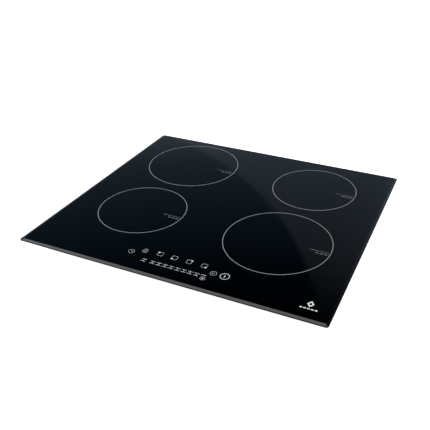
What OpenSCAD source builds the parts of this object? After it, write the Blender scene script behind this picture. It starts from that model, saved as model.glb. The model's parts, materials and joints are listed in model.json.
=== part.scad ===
// Built-in induction cooktop with four cooking zones.
// Frame: +X to the cook's right, +Y to the rear, +Z up. The origin is the middle of the
// footprint at the underside of the case, so the case stands on z = 0.

/* [Glass] */
// Width of the glass plate, left to right
glass_w = 590; // [560:1:900]
// Depth of the glass plate, front to rear
glass_d = 520; // [500:1:640]
// Thickness of the glass plate
glass_t = 4; // [3.5:0.1:6]
// Radius of the glass corners, seen from above
glass_r = 5; // [2:0.5:12]
// Width of the ground bevel round the top, seen from above
bevel_w = 5.2; // [2:0.1:8]
// Height of the ground bevel
bevel_h = 1.5; // [0.5:0.1:2.5]
// Thickness of the enamel print on the glass
print_t = 0.1; // [0.05:0.01:0.3]

/* [Cooking zones] */
// Diameter of the two large printed rings
large_zone_d = 201; // [160:1:205]
// Diameter of the two small printed rings
small_zone_d = 175; // [140:1:180]
// Width of the printed ring line
ring_line = 1.2; // [0.8:0.1:4]
// Gap from the side edge of the glass to a large ring
zone_side_gap = 51; // [40:1:60]
// Gap from the rear edge of the glass to a large ring
zone_rear_gap = 21.5; // [20:0.5:60]
// Depth of the control strip, from the front edge to a large ring
control_strip = 82.5; // [80:0.5:90]

/* [Case] */
// How far the glass reaches past the case on every side
glass_lip = 17.5; // [14:0.5:24]
// Depth of the case below the worktop's surface
body_depth = 50; // [48:1:70]
// Thickness of the case's sheet steel
sheet_t = 1; // [0.8:0.1:1.5]
// Depth of the shallow front shelf below the worktop's surface
shelf_depth = 14; // [13:0.5:15]
// Length of the shallow front shelf, front to rear
shelf_len = 41; // [38:0.5:60]
// Outer corner radius of the case
case_r = 6; // [3:0.5:12]
// Thickness of the foam seal between glass and worktop
seal_t = 1.5; // [1:0.1:3]
// Width of the foam seal
seal_w = 8; // [5:0.5:10]

/* [Coils] */
// How much smaller in radius a coil is than its printed ring
coil_inset = 10; // [6:0.5:16]
// Height of the litz winding
coil_t = 5; // [4:0.1:6]
// Width of one turn of litz wire
turn_w = 4; // [3:0.1:5]
// Pitch of the turns
turn_pitch = 4.6; // [4.4:0.1:7]
// Thickness of the insulating disc on a coil
insulation_t = 2.5; // [1:0.1:4]
// Thickness of the coil carrier's floor
carrier_t = 2.5; // [2:0.1:4]
// Height of a ferrite bar
ferrite_t = 4; // [3:0.1:5]
// How far a coil unit can be pressed down on its springs
coil_travel = 3; // [1:0.1:4]
// Radius of a carrier's guide pins
pin_r = 3; // [2:0.1:4]

/* [Cooling and power] */
// Diameter of a fan rotor
fan_d = 100; // [80:1:110]
// Height of a fan rotor
fan_h = 16; // [10:0.5:18]
// Number of fan blades
fan_blades = 24; // [12:1:36]
// Radius of a fan's axle
axle_r = 2; // [1.5:0.1:3]
// Height of a heat sink, from the power board
sink_h = 16.5; // [10:0.5:17]
// Thickness of the circuit boards
board_t = 1.6; // [1:0.1:2.4]

/* [Fixing] */
// Radius of the clamp screws
clamp_screw_r = 2; // [1.5:0.1:3]
// Length of a clamp arm from its screw to its tip
clamp_len = 46; // [36:1:46]
// Width of the terminal box's lid
lid_w = 88; // [70:1:100]
// Radius of the terminal lid's hinge pins
hinge_r = 1.5; // [1:0.1:1.6]
// Radius of the cable entry's hole
cable_r = 6.5; // [5:0.1:8]

/* [Hidden] */
// Fineness of round shapes
$fn = 64;
// A cut runs this far past the face it opens
past = 1;
// Gap between sheet parts that slide into each other
slip = 0.2;
// Gap round a pin that turns or slides
run_gap = 0.06;
// Gap round a carrier's guide pin in the tray
guide_gap = 0.4;
// Gap between a part that moves and what it only passes
free_gap = 0.5;

// Levels
worktop_z = body_depth;
glass_z = worktop_z + seal_t;
top_z = glass_z + glass_t;
floor_z = sheet_t;
shelf_z = worktop_z - shelf_depth;
pan_top = glass_z - free_gap;

// Case outline
case_w = glass_w - 2 * glass_lip;
case_d = glass_d - 2 * glass_lip;
half_w = case_w / 2;
half_d = case_d / 2;
tub_front = -half_d + shelf_len;
tub_d = case_d - shelf_len;
tub_y = (tub_front + half_d) / 2;

// Zones: x side, y side, ring diameter
zone_x = glass_w / 2 - zone_side_gap - large_zone_d / 2;
rear_y = glass_d / 2 - zone_rear_gap - large_zone_d / 2;
front_y = -glass_d / 2 + control_strip + large_zone_d / 2;
ZONES = [[-zone_x, rear_y, large_zone_d], [zone_x, rear_y, small_zone_d],
    [-zone_x, front_y, small_zone_d], [zone_x, front_y, large_zone_d]];
function zone_coil_r(i) = ZONES[i][2] / 2 - coil_inset;

// Coil stack, from the glass down
unit_top = glass_z - 0.1;
coil_top = unit_top - insulation_t;
coil_z = coil_top - coil_t;
carrier_z = coil_z - carrier_t;
ferrite_z = carrier_z - ferrite_t;
// A pressed unit still keeps this far from the tray
tray_clear = 3;
tray_gap = coil_travel + tray_clear;
tray_t = 1.5;
tray_top = ferrite_z - tray_gap;
tray_z = tray_top - tray_t;
hub_r = 19;
sensor_r = 6;
carrier_rim = 3;
spring_wall = 1.2;
pin_share = 0.74;
pin_angles = [30, 150, 270];

// Electronics bays, one each side, seen from their own middle
bay_x = 135;
bay_w = 220;
bay_wall = 2;
bay_front = tub_front + 18;
fan_y = 40;
shroud_r = fan_d / 2 + 7;
bay_rear = fan_y + shroud_r + 2 * bay_wall;
board_z = floor_z + 5;
board_top = board_z + board_t;
sink_w = 100;
sink_front = -150;
sink_rear = -45;
board_edge = 6;
board_rear = fan_y - shroud_r - bay_wall - 8;
board_front = bay_front + board_edge;
board_spots = [[-bay_w / 2 + 14, board_front + 8], [bay_w / 2 - 14, board_front + 8],
    [-bay_w / 2 + 14, board_rear - 8], [bay_w / 2 - 14, board_rear - 8]];

// Tray posts
post_r = 4;
post_hole = 1.5;
post_x = half_w - 25.5;
posts = concat([for (s = [-1, 1]) for (y = [tub_front + 29, 60, half_d - 16.5]) [s * post_x, y]],
    [[0, tub_front + 29], [0, 150]]);
tray_front = tub_front + 20;
tray_rear = half_d - 4;

// Clamp pockets in the side walls
pocket_in = 17;
pocket_len = 60;
pocket_h = 20;
pocket_front = tub_front + 12;
pocket_rear = half_d - 92;
clamp_pivot_in = 8;
clamp_pivot_end = 9;
clamp_arm_z = 10;
clamp_arm_t = 2.5;
clamp_arm_w = 12;
clamp_hub_r = 5.5;
screw_head_z = 3;
screw_head_h = 3;

// Terminal box on the rear wall
term_x = -190;
term_in = 42;
term_z = floor_z;
term_h = tray_z - floor_z - 1.5;
term_wall = 2;
lid_t = 2;
hinge_in = 4;
hinge_y = half_d - hinge_in;
hinge_z = term_z + term_wall + 6;
lid_drop = 3.9;
lid_z = hinge_z - lid_drop;
lid_h = term_z + term_h - term_wall - free_gap - lid_z;
sill_z = hinge_z - lid_drop - 1.1;

// Glass frame, inside the case's upper edge
frame_in = sheet_t + slip;
frame_leg = 11;
frame_lip = 10;
screw_z = glass_z - 7;

// Control box
ctl_left = -104;
ctl_right = 122;
ctl_front = -half_d + frame_in + frame_lip + 0.8;
ctl_rear = -glass_d / 2 + 74;
ctl_wall = 1.5;
touch_z = shelf_z + sheet_t + 5;
// Rows of printed symbols, from the front edge of the glass
row_slider = -glass_d / 2 + 35;
row_mid = -glass_d / 2 + 49;
row_zone = -glass_d / 2 + 62;
slider_step = 12.2;
slider_first = -31;
zone_keys = [-31.5, -2.5, 26.5, 56];
key_power = 100.5;
key_ring = 79.5;
key_timer = -83;
key_lock = -61;

// ---------- shared shapes ----------

module rounded(w, d, r) {
    union() {
        square([w - 2 * r, d], center = true);
        square([w, d - 2 * r], center = true);
        for (x = [-1, 1], y = [-1, 1]) translate([x * (w / 2 - r), y * (d / 2 - r)]) circle(r);
    }
}

module slab(w, d, r, z, h) {
    translate([0, 0, z]) linear_extrude(h) rounded(w, d, r);
}

module ring(r_out, r_in, h) {
    difference() {
        cylinder(r = r_out, h = h);
        translate([0, 0, -past]) cylinder(r = r_in, h = h + 2 * past);
    }
}

module box(x0, x1, y0, y1, z0, z1) {
    translate([x0, y0, z0]) cube([x1 - x0, y1 - y0, z1 - z0]);
}

module pill(len, wid, h) {
    union() {
        translate([-(len - wid) / 2, -wid / 2, 0]) cube([len - wid, wid, h]);
        for (s = [-1, 1]) translate([s * (len - wid) / 2, 0, 0]) cylinder(d = wid, h = h, $fn = 24);
    }
}

module on_side(s) {
    mirror([s < 0 ? 1 : 0, 0, 0]) translate([bay_x, 0, 0]) children();
}

// ---------- glass and print ----------

module bevel_cut(len) {
    rotate([90, 0, 90]) translate([0, 0, -len / 2]) linear_extrude(len)
        polygon([[-past, -bevel_h - bevel_h * past / bevel_w], [bevel_w + past, past * bevel_h / bevel_w],
            [-past, past * bevel_h / bevel_w]]);
}

module glass_top() {
    color([0.03, 0.035, 0.045]) difference() {
        slab(glass_w, glass_d, glass_r, glass_z, glass_t);
        for (a = [0, 180]) rotate(a) translate([0, -glass_d / 2, top_z]) bevel_cut(glass_w + 2 * past);
        for (a = [90, 270]) rotate(a) translate([0, -glass_w / 2, top_z]) bevel_cut(glass_d + 2 * past);
    }
}

// A row of small humps with three dashes below, the plain sign for a coil
module coil_sign() {
    hump_r = 3;
    humps = 6;
    difference() {
        union() for (i = [1:humps]) translate([-(2 * i - 1) * hump_r, -2, 0]) ring(hump_r + line / 2,
            hump_r - line / 2, print_t);
        translate([-2 * humps * hump_r - past, -2 * hump_r - 2, -past])
            cube([2 * humps * hump_r + 2 * past, 2 * hump_r, print_t + 2 * past]);
    }
    for (i = [0:2]) translate([-4 - 8 * i, -6.2, 0]) pill(6, 1.2, print_t);
}

module zone_print() {
    color([0.62, 0.64, 0.66]) translate([0, 0, top_z]) {
        for (z = ZONES) translate([z[0], z[1], 0]) {
            ring((z[2] + ring_line) / 2, (z[2] - ring_line) / 2, print_t);
            translate([z[2] / 2 - 3.5, 0, 0]) coil_sign();
        }
    }
}

// Width of the fine lines of the printed keys
line = 0.4;

// A square with a dot in the corner that its zone has on the plate
module zone_key(x, dot_x, dot_y) {
    side = 10.4;
    dot_r = 1.8;
    dot = 3.8;
    translate([x, row_zone, 0]) {
        difference() {
            linear_extrude(print_t) rounded(side, side, 2);
            translate([0, 0, -past]) linear_extrude(print_t + 2 * past)
                rounded(side - 2 * line, side - 2 * line, 2 - line);
            translate([dot_x * dot, dot_y * dot, -past]) cylinder(r = dot_r + 0.5, h = print_t + 2 * past);
        }
        translate([dot_x * dot, dot_y * dot, 0]) cylinder(r = dot_r, h = print_t);
    }
}

module slider_mark(x) {
    dash = 0.6;
    for (s = [-1, 1]) translate([x, row_slider + s * 3, 0]) pill(9.6, dash, print_t);
    translate([x - dash / 2, row_slider - 3, 0]) cube([dash, 6, print_t]);
}

module control_print() {
    color([0.8, 0.81, 0.82]) translate([0, 0, top_z]) {
        zone_key(zone_keys[0], -1, 1);
        zone_key(zone_keys[1], -1, -1);
        zone_key(zone_keys[2], 1, 1);
        zone_key(zone_keys[3], 1, -1);
        for (i = [0:7]) slider_mark(slider_first + slider_step * i);
        slider_mark(slider_first - 1.45 * slider_step);
        // power key: a ring with a bar
        translate([key_power, row_mid, 0]) ring(8.4, 8.4 - 2.4 * line, print_t);
        translate([key_power, row_mid, 0]) rotate(90) pill(7.5, 3 * line, print_t);
        // pause key: a small ring with two bars
        translate([key_ring, row_mid, 0]) ring(5.8, 5.8 - line, print_t);
        for (s = [-1, 1]) translate([key_ring + s * 1.5, row_mid, 0]) rotate(90) pill(4.6, line, print_t);
        // timer key: a clock face with two hands
        translate([key_timer, row_mid, 0]) ring(5.6, 5.6 - line, print_t);
        translate([key_timer, row_mid + 1.3, 0]) rotate(90) pill(3.8, line, print_t);
        translate([key_timer + 1.4, row_mid - 0.3, 0]) pill(3, line, print_t);
        // child lock: a padlock
        translate([key_lock, row_zone - 3.5, 0]) difference() {
            linear_extrude(print_t) rounded(9, 7, 1.4);
            translate([0, 0, -past]) linear_extrude(print_t + 2 * past)
                rounded(9 - 2 * line, 7 - 2 * line, 1.4 - line);
        }
        translate([key_lock, row_zone - 3.5, 0]) rotate(90) pill(2.6, 1.2, print_t);
        translate([key_lock, row_zone + 0.6, 0]) difference() {
            ring(3.4, 3.4 - line, print_t);
            translate([-4, -4, -past]) cube([8, 3.8, print_t + 2 * past]);
        }
        // full power key: a ring with an arrow head
        translate([slider_first + 8 * slider_step, row_slider + 3, 0]) pill(9.6, 0.7, print_t);
        translate([68.5, row_slider - 5.5, 0]) ring(4.6, 4.6 - line, print_t);
        translate([68.5, row_slider - 5.5, 0]) linear_extrude(print_t) polygon([[-2, -1.4], [2, -1.4], [0, 2.2]]);
        // corner mark: a plain lozenge over a row of plain dashes
        translate([glass_w / 2 - 40.5, -glass_d / 2 + 39, 0]) difference() {
            linear_extrude(print_t) polygon([[-6, 0], [0, -7.8], [6, 0], [0, 7.8]]);
            translate([0, 0, -past]) linear_extrude(print_t + 2 * past)
                polygon([[-2.8, 0], [0, -3.8], [2.8, 0], [0, 3.8]]);
        }
        for (i = [-2:2]) translate([glass_w / 2 - 40.5 + 6.2 * i, -glass_d / 2 + 27, 0])
            pill(4.8, 2.6, print_t);
    }
}

// ---------- seal, frame and case ----------

module rim_seal() {
    inset = 3;
    color([0.08, 0.08, 0.085]) difference() {
        slab(glass_w - 2 * inset, glass_d - 2 * inset, glass_r, worktop_z, seal_t);
        slab(glass_w - 2 * inset - 2 * seal_w, glass_d - 2 * inset - 2 * seal_w, 1,
            worktop_z - past, seal_t + 2 * past);
    }
}

// Screws that hold the glass frame in the pan: place along the wall and the wall's angle
wall_screws = concat([for (x = [-200, 0, 200]) for (a = [0, 180]) [x, half_d, a]],
    [for (y = [-150, 120]) for (a = [90, 270]) [y, half_w, a]]);
wall_hole_r = 1.65;

module at_wall_screws() {
    for (s = wall_screws) rotate(s[2]) translate([s[2] == 180 || s[2] == 270 ? -s[0] : s[0], s[1], screw_z])
        rotate([-90, 0, 0]) children();
}

module glass_frame() {
    w = case_w - 2 * frame_in;
    d = case_d - 2 * frame_in;
    color([0.62, 0.63, 0.64]) difference() {
        slab(w, d, case_r - frame_in, glass_z - frame_leg, frame_leg);
        slab(w - 2 * sheet_t, d - 2 * sheet_t, case_r - frame_in - sheet_t, glass_z - frame_leg - past,
            frame_leg - sheet_t + past);
        slab(w - 2 * frame_lip, d - 2 * frame_lip, 2, glass_z - 2 * sheet_t, 3 * sheet_t);
        at_wall_screws() translate([0, 0, -8]) cylinder(r = wall_hole_r, h = 10);
    }
}

module case_screws() {
    head_r = 2.8;
    head_h = 1.8;
    color([0.7, 0.7, 0.72]) at_wall_screws() union() {
        cylinder(r = head_r, h = head_h);
        translate([0, 0, -6]) cylinder(r = wall_hole_r - 0.1, h = 6 + past / 2);
    }
}

module case_outline(grow) {
    slab(case_w + 2 * grow, case_d + 2 * grow, case_r + grow, shelf_z - grow, pan_top - shelf_z + grow);
    translate([0, tub_y, 0]) slab(case_w + 2 * grow, tub_d + 2 * grow, case_r + grow, -grow,
        shelf_z + 2 * sheet_t + grow);
}

module pockets(grow) {
    for (s = [-1, 1]) for (y = [pocket_front, pocket_rear])
        translate([s * (half_w - pocket_in / 2 + past / 2), y + pocket_len / 2, -past])
            translate([-pocket_in / 2 - past / 2 - grow, -pocket_len / 2 - grow, 0])
                cube([pocket_in + past + 2 * grow, pocket_len + 2 * grow, pocket_h + past + grow]);
}

module intake_slots() {
    slot_w = 4;
    step = 8;
    reach = fan_d / 2 - 4;
    last = floor((reach - 6) / step);
    for (i = [-last:last]) {
        len = 2 * sqrt(pow(reach, 2) - pow(i * step, 2));
        translate([0, fan_y + i * step, -past]) pill(len, slot_w, sheet_t + 2 * past);
    }
}

module wall_slots(count, step, wid, z0, z1) {
    for (i = [0:count - 1]) translate([(i - (count - 1) / 2) * step, 0, (z0 + z1) / 2])
        rotate([90, 90, 0]) translate([0, 0, -2 * sheet_t]) pill(z1 - z0, wid, 4 * sheet_t);
}

module case_pan() {
    color([0.66, 0.67, 0.68]) difference() {
        difference() {
            case_outline(0);
            pockets(0);
        }
        difference() {
            union() {
                slab(case_w - 2 * sheet_t, case_d - 2 * sheet_t, case_r - sheet_t, shelf_z + sheet_t,
                    pan_top - shelf_z + past);
                translate([0, tub_y, 0]) slab(case_w - 2 * sheet_t, tub_d - 2 * sheet_t,
                    case_r - sheet_t, floor_z, shelf_z + sheet_t);
            }
            pockets(sheet_t);
        }
        for (s = [-1, 1]) on_side(s) intake_slots();
        // air outlets in the step under the control strip
        for (s = [-1, 1]) translate([s * bay_x, tub_front + sheet_t / 2, 0]) wall_slots(18, 11, 4, 8, 26);
        // rear air slots, beside the terminal box
        translate([bay_x, half_d - sheet_t / 2, 0]) wall_slots(18, 11, 4, 8, 26);
        // terminal window and cable entry
        box(term_x - lid_w / 2, term_x + lid_w / 2, half_d - 2 * sheet_t, half_d + past,
            sill_z, lid_z + lid_h + free_gap);
        translate([cable_x, half_d + past, cable_z]) rotate([90, 0, 0])
            cylinder(r = grommet_r, h = 2 * sheet_t + 2 * past);
        at_wall_screws() translate([0, 0, -4]) cylinder(r = wall_hole_r, h = 6);
        at_clamps() translate([0, 0, pocket_h - past]) cylinder(r = clamp_screw_r + 0.1, h = sheet_t + 2 * past);
    }
}

// ---------- coil tray ----------

module tray_posts() {
    color([0.75, 0.75, 0.76]) for (p = posts) translate([p[0], p[1], floor_z])
        ring(post_r, post_hole, tray_z - floor_z);
}

module tray_screws() {
    color([0.7, 0.7, 0.72]) for (p = posts) translate([p[0], p[1], tray_top]) union() {
        cylinder(r = 3, h = 2);
        translate([0, 0, -10]) cylinder(r = post_hole - 0.1, h = 10 + past);
    }
}

module at_guides() {
    for (i = [0:3]) translate([ZONES[i][0], ZONES[i][1], 0])
        for (a = pin_angles) rotate(a) translate([pin_share * zone_coil_r(i), 0, 0]) children();
}

module coil_tray() {
    lead_r = 11;
    color([0.8, 0.8, 0.81]) difference() {
        box(-half_w + sheet_t + 4, half_w - sheet_t - 4, tray_front, tray_rear - sheet_t, tray_z, tray_top);
        translate([0, 0, tray_z - past]) {
            at_guides() cylinder(r = pin_r + guide_gap, h = tray_t + 2 * past);
            for (p = posts) translate([p[0], p[1], 0]) cylinder(r = post_hole + 0.1, h = tray_t + 2 * past);
            // lead holes under the hubs, wide enough for the sensor's foot
            for (z = ZONES) translate([z[0], z[1], 0]) cylinder(r = lead_r, h = tray_t + 2 * past);
        }
    }
}

// ---------- coil units ----------

module insulation(i) {
    color([0.85, 0.83, 0.76]) translate([ZONES[i][0], ZONES[i][1], coil_top])
        ring(zone_coil_r(i), sensor_r + 4, insulation_t);
}

// Turns of flattened litz wire, flat below and chamfered on top
module coil(i) {
    first = hub_r + 1.5 + turn_w / 2;
    count = floor((zone_coil_r(i) - turn_w / 2 - first) / turn_pitch);
    chamfer = 1;
    color([0.72, 0.38, 0.2]) translate([ZONES[i][0], ZONES[i][1], coil_z]) for (k = [0:count])
        rotate_extrude() translate([first + k * turn_pitch, 0]) polygon([[-turn_w / 2, 0], [turn_w / 2, 0],
            [turn_w / 2, coil_t - chamfer], [turn_w / 2 - chamfer, coil_t],
            [-turn_w / 2 + chamfer, coil_t], [-turn_w / 2, coil_t - chamfer]]);
}

module carrier(i) {
    r = zone_coil_r(i);
    pin_len = carrier_z - tray_z + 1.5;
    color([0.16, 0.16, 0.17]) translate([ZONES[i][0], ZONES[i][1], 0]) difference() {
        union() {
            translate([0, 0, carrier_z]) cylinder(r = r + carrier_rim, h = carrier_t);
            translate([0, 0, carrier_z]) ring(r + carrier_rim, r + carrier_rim - 1.5, carrier_t + coil_t);
            translate([0, 0, carrier_z]) cylinder(r = hub_r, h = carrier_t + coil_t);
            for (a = pin_angles) rotate(a) translate([pin_share * r, 0, carrier_z - pin_len])
                cylinder(r = pin_r, h = pin_len + past);
        }
        translate([0, 0, carrier_z - past]) cylinder(r = sensor_r + 0.2, h = carrier_t + coil_t + 2 * past);
    }
}

module ferrites(i) {
    bar_w = 12;
    inner = hub_r + 2;
    color([0.12, 0.12, 0.13]) translate([ZONES[i][0], ZONES[i][1], ferrite_z])
        for (a = [0:60:300]) rotate(a) box(inner, zone_coil_r(i) - 2, -bar_w / 2, bar_w / 2, 0, ferrite_t);
}

module sensor(i) {
    foot = 5;
    color([0.9, 0.9, 0.88]) translate([ZONES[i][0], ZONES[i][1], 0]) union() {
        translate([0, 0, carrier_z - foot]) cylinder(r = sensor_r, h = unit_top - carrier_z + foot);
        translate([0, 0, coil_top]) cylinder(r = sensor_r + 3, h = 1);
    }
}

module springs(i) {
    color([0.72, 0.73, 0.75]) translate([ZONES[i][0], ZONES[i][1], tray_top]) for (a = pin_angles)
        rotate(a) translate([pin_share * zone_coil_r(i), 0, 0])
            ring(pin_r + free_gap + spring_wall, pin_r + free_gap, carrier_z - tray_top);
}

// ---------- electronics ----------

rotor_z = floor_z + bay_wall + free_gap;
axle_top = rotor_z + fan_h + 2;

module electronics_tray(s) {
    rim_h = 4;
    hub = 15;
    color([0.2, 0.2, 0.21]) on_side(s) difference() {
        union() {
            difference() {
                box(-bay_w / 2, bay_w / 2, bay_front, bay_rear, floor_z, floor_z + bay_wall + rim_h);
                box(-bay_w / 2 + bay_wall, bay_w / 2 - bay_wall, bay_front + bay_wall, bay_rear - bay_wall,
                    floor_z + bay_wall, floor_z + bay_wall + rim_h + past);
            }
            // fan shroud
            translate([0, fan_y, floor_z]) ring(shroud_r + bay_wall, shroud_r, bay_wall + fan_h + 3);
            // board posts
            for (p = board_spots) translate([p[0], p[1], floor_z]) cylinder(r = 4, h = board_z - floor_z);
        }
        // air inlet, spanned by the spider below
        translate([0, fan_y, floor_z - past]) cylinder(r = fan_d / 2 - 8, h = bay_wall + 2 * past);
        // air outlet towards the heat sink
        box(-sink_w / 2 + 5, sink_w / 2 - 5, fan_y - shroud_r - bay_wall - past, fan_y,
            floor_z + bay_wall, floor_z + bay_wall + fan_h + 3 + past);
    }
    color([0.2, 0.2, 0.21]) on_side(s) translate([0, fan_y, 0]) union() {
        for (a = [0, 120, 240]) rotate(a + 30) box(hub - 2, fan_d / 2 - 7.5, -4, 4, floor_z, floor_z + bay_wall);
        translate([0, 0, floor_z]) cylinder(r = hub, h = bay_wall);
        translate([0, 0, floor_z]) cylinder(r = axle_r, h = axle_top - floor_z);
        // clip that keeps the rotor on its axle
        translate([0, 0, rotor_z + fan_h + free_gap]) cylinder(r = axle_r + 1.5, h = 0.8);
    }
}

module fan_rotor(s) {
    hub = 14;
    blade_in = 28;
    blade_t = 1.2;
    plate = 2;
    color([0.1, 0.1, 0.11]) on_side(s) translate([0, fan_y, rotor_z]) difference() {
        union() {
            cylinder(r = hub, h = fan_h);
            translate([0, 0, fan_h - plate]) cylinder(r = fan_d / 2, h = plate);
            ring(fan_d / 2, fan_d / 2 - 3, plate);
            for (k = [0:fan_blades - 1]) rotate(k * 360 / fan_blades) translate([blade_in, 0, 0])
                rotate(-22) cube([(fan_d / 2 - blade_in) * 0.98, blade_t, fan_h - plate / 2]);
        }
        difference() {
            translate([0, 0, -past]) cylinder(r = fan_d, h = fan_h + 2 * past);
            translate([0, 0, -2 * past]) cylinder(r = fan_d / 2, h = fan_h + 4 * past);
        }
        translate([0, 0, -past]) cylinder(r = axle_r + run_gap, h = fan_h + 2 * past);
    }
}

module power_board(s) {
    color([0.1, 0.35, 0.2]) on_side(s) union() {
        box(-bay_w / 2 + board_edge, bay_w / 2 - board_edge, board_front, board_rear, board_z, board_top);
        // plugs for the control cable and the coils
        box(-bay_w / 2 + 22, -bay_w / 2 + 46, board_front + 2, board_front + 9, board_z + board_t / 2,
            board_top + 7);
        for (x = [-20, 20, 50]) box(x - 7, x + 7, board_front + 3, board_front + 11, board_z + board_t / 2,
            board_top + 9);
    }
}

module heat_sink(s) {
    base_t = 4;
    fin_t = 1.6;
    fins = 14;
    step = (sink_w - fin_t) / (fins - 1);
    color([0.78, 0.79, 0.8]) on_side(s) union() {
        box(-sink_w / 2, sink_w / 2, sink_front, sink_rear, board_top, board_top + base_t);
        for (i = [0:fins - 1]) translate([-sink_w / 2 + i * step, sink_front, board_top])
            cube([fin_t, sink_rear - sink_front, sink_h]);
    }
}

module power_transistors() {
    pack = [5, 16, 15];
    color([0.07, 0.07, 0.075]) for (s = [-1, 1]) on_side(s) {
        for (y = [-142, -118, -94, -70]) translate([sink_w / 2, y, board_top]) cube(pack);
        for (y = [-130, -90]) translate([-sink_w / 2 - pack[0], y, board_top]) cube([pack[0], 24, pack[2]]);
    }
}

module capacitors() {
    can_r = 7.5;
    color([0.85, 0.8, 0.66]) for (s = [-1, 1]) on_side(s) {
        for (y = [-150, -126, -102, -78]) box(64, 96, y, y + 18, board_top, board_top + 16);
        for (y = [-140, -108]) box(-98, -62, y, y + 24, board_top, board_top + 16);
        for (x = [-90, -70]) translate([x, -65, board_top]) cylinder(r = can_r, h = 16);
    }
}

// Mains filter at the rear, on its own plastic feet
filter_x0 = -118;
filter_x1 = 20;
filter_y0 = half_d - 74;
filter_y1 = half_d - 12;
module filter_board() {
    color([0.12, 0.38, 0.22]) union() {
        box(filter_x0, filter_x1, filter_y0, filter_y1, board_z, board_top);
        for (x = [filter_x0 + 6, filter_x1 - 6], y = [filter_y0 + 6, filter_y1 - 6]) translate([x, y, floor_z])
            cylinder(r = 3, h = board_z - floor_z + board_t / 2);
    }
}

module filter_parts() {
    choke_r = 14;
    color([0.2, 0.3, 0.5]) {
        translate([filter_x0 + 50, filter_y0 + 30, board_top]) ring(choke_r, choke_r / 2, 12);
        box(filter_x0 + 70, filter_x0 + 102, filter_y0 + 8, filter_y0 + 26, board_top, board_top + 15);
        for (x = [0, 32]) box(filter_x0 + 70 + x, filter_x0 + 96 + x, filter_y1 - 22, filter_y1 - 6,
            board_top, board_top + 15);
        box(filter_x0 + 108, filter_x0 + 130, filter_y0 + 8, filter_y0 + 22, board_top, board_top + 10);
    }
}

// ---------- controls ----------

module control_box() {
    color([0.22, 0.22, 0.23]) union() {
        difference() {
            box(ctl_left, ctl_right, ctl_front, ctl_rear, shelf_z + sheet_t, glass_z - 0.3);
            box(ctl_left + ctl_wall, ctl_right - ctl_wall, ctl_front + ctl_wall, ctl_rear - ctl_wall,
                shelf_z + sheet_t + ctl_wall, glass_z + past);
            // slot for the ribbon cable
            box(ribbon_x - 1, ribbon_x + ribbon_w + 1, ctl_rear - 2 * ctl_wall, ctl_rear + past,
                touch_z - 3.6, touch_z - 0.4);
        }
        for (x = [ctl_left + 8, (ctl_left + ctl_right) / 2, ctl_right - 8],
            y = [ctl_front + 6, ctl_rear - 8]) translate([x, y, shelf_z + sheet_t])
            cylinder(r = 2.5, h = touch_z - shelf_z - sheet_t);
    }
}

module touch_board() {
    color([0.1, 0.33, 0.2]) union() {
        box(ctl_left + 2, ctl_right - 2, ctl_front + 2, ctl_rear - 2, touch_z, touch_z + board_t);
        // number display and processor
        box(-30, 40, row_mid - 4.5, row_mid + 3.5, touch_z + board_t / 2, glass_z - 2);
        box(50, 62, row_mid - 6, row_mid + 6, touch_z + board_t / 2, touch_z + board_t + 1.5);
    }
}

module touch_springs() {
    spots = concat([for (x = zone_keys) [x, row_zone]], [for (x = [key_power, key_ring, key_timer]) [x, row_mid]],
        [[key_lock, row_zone]], [for (i = [-1:8]) [slider_first + slider_step * i, row_slider]]);
    color([0.8, 0.8, 0.82]) for (p = spots) translate([p[0], p[1], touch_z + board_t])
        ring(3.2, 2.4, glass_z - touch_z - board_t);
}

ribbon_w = 20;
ribbon_x = -bay_x + bay_w / 2 - 44;
ribbon_t = 0.8;
module ribbon_cable() {
    drop_y = ctl_rear + 1.5;
    z_high = touch_z - 2;
    z_low = board_top + 3;
    color([0.75, 0.75, 0.78]) union() {
        box(ribbon_x, ribbon_x + ribbon_w, ctl_rear - 8, drop_y + ribbon_t, z_high - ribbon_t, z_high);
        box(ribbon_x, ribbon_x + ribbon_w, drop_y, drop_y + ribbon_t, z_low, z_high);
        box(ribbon_x, ribbon_x + ribbon_w, min(drop_y, board_front + 2), max(board_front + 2, drop_y + ribbon_t),
            z_low, z_low + ribbon_t);
    }
}

// ---------- mains connection ----------

cable_x = term_x + lid_w / 2 + 16;
cable_z = 17;
grommet_r = cable_r + 2;

term_w = lid_w + 2 * term_wall;

module terminal_box() {
    side = term_x + lid_w / 2;
    color([0.2, 0.2, 0.21]) difference() {
        box(term_x - term_w / 2, term_x + term_w / 2, half_d - term_in, half_d - sheet_t, term_z,
            term_z + term_h);
        box(term_x - lid_w / 2, side, half_d - term_in + term_wall, half_d, term_z + term_wall,
            term_z + term_h - term_wall);
        // window for the wires, towards the cable entry
        translate([side - past, half_d - 16, cable_z]) rotate([0, 90, 0])
            cylinder(r = cable_r, h = term_wall + 2 * past);
        // hinge holes for the lid's pins
        translate([term_x - term_w / 2 - past, hinge_y, hinge_z]) rotate([0, 90, 0])
            cylinder(r = hinge_r + run_gap, h = term_w + 2 * past);
    }
}

module terminal_block() {
    poles = 5;
    step = 13;
    y0 = half_d - term_in + term_wall;
    z0 = term_z + term_wall;
    color([0.88, 0.87, 0.82]) difference() {
        box(term_x - poles * step / 2, term_x + poles * step / 2, y0, y0 + 20, z0, z0 + 15);
        for (i = [0:poles - 1]) translate([term_x + (i - (poles - 1) / 2) * step, 0, 0]) {
            translate([0, y0 + 10, z0 + 6]) cylinder(r = 3, h = 12);
            translate([-4, y0 + 12, z0 + 2]) cube([8, 12, 7]);
        }
    }
}

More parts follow.
